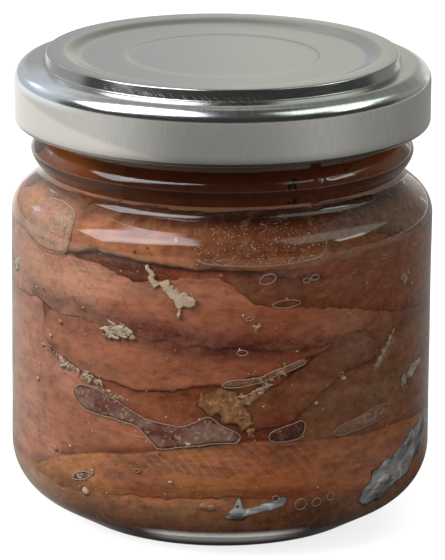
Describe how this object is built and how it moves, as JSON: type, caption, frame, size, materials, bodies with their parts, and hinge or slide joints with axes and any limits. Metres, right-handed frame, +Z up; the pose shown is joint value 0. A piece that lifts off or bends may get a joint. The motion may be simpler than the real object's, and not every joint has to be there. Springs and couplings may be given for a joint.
{
  "type": "jar of anchovies",
  "caption": "Small round glass jar packed with anchovy fillets in oil, with a rounded heel and shoulder, a beaded neck and a plain silver twist-off lid.",
  "frame": {"origin": "centre of the ring that the jar stands on", "axes": "+Z up along the jar's axis, -Y towards the side shown in front"},
  "size_m": [0.062, 0.062, 0.0691],
  "materials": {
    "clear_glass": "clear, smooth, slightly thick at the base",
    "tinplate": "satin silver lacquer",
    "fish": "moist cured anchovy flesh, red-brown with paler edges",
    "olive_oil": "clear amber oil"
  },
  "bodies": {
    "root": {"jar": "clear_glass", "lid": "tinplate", "fillets": "fish", "oil": "olive_oil"}
  },
  "joints": []
}
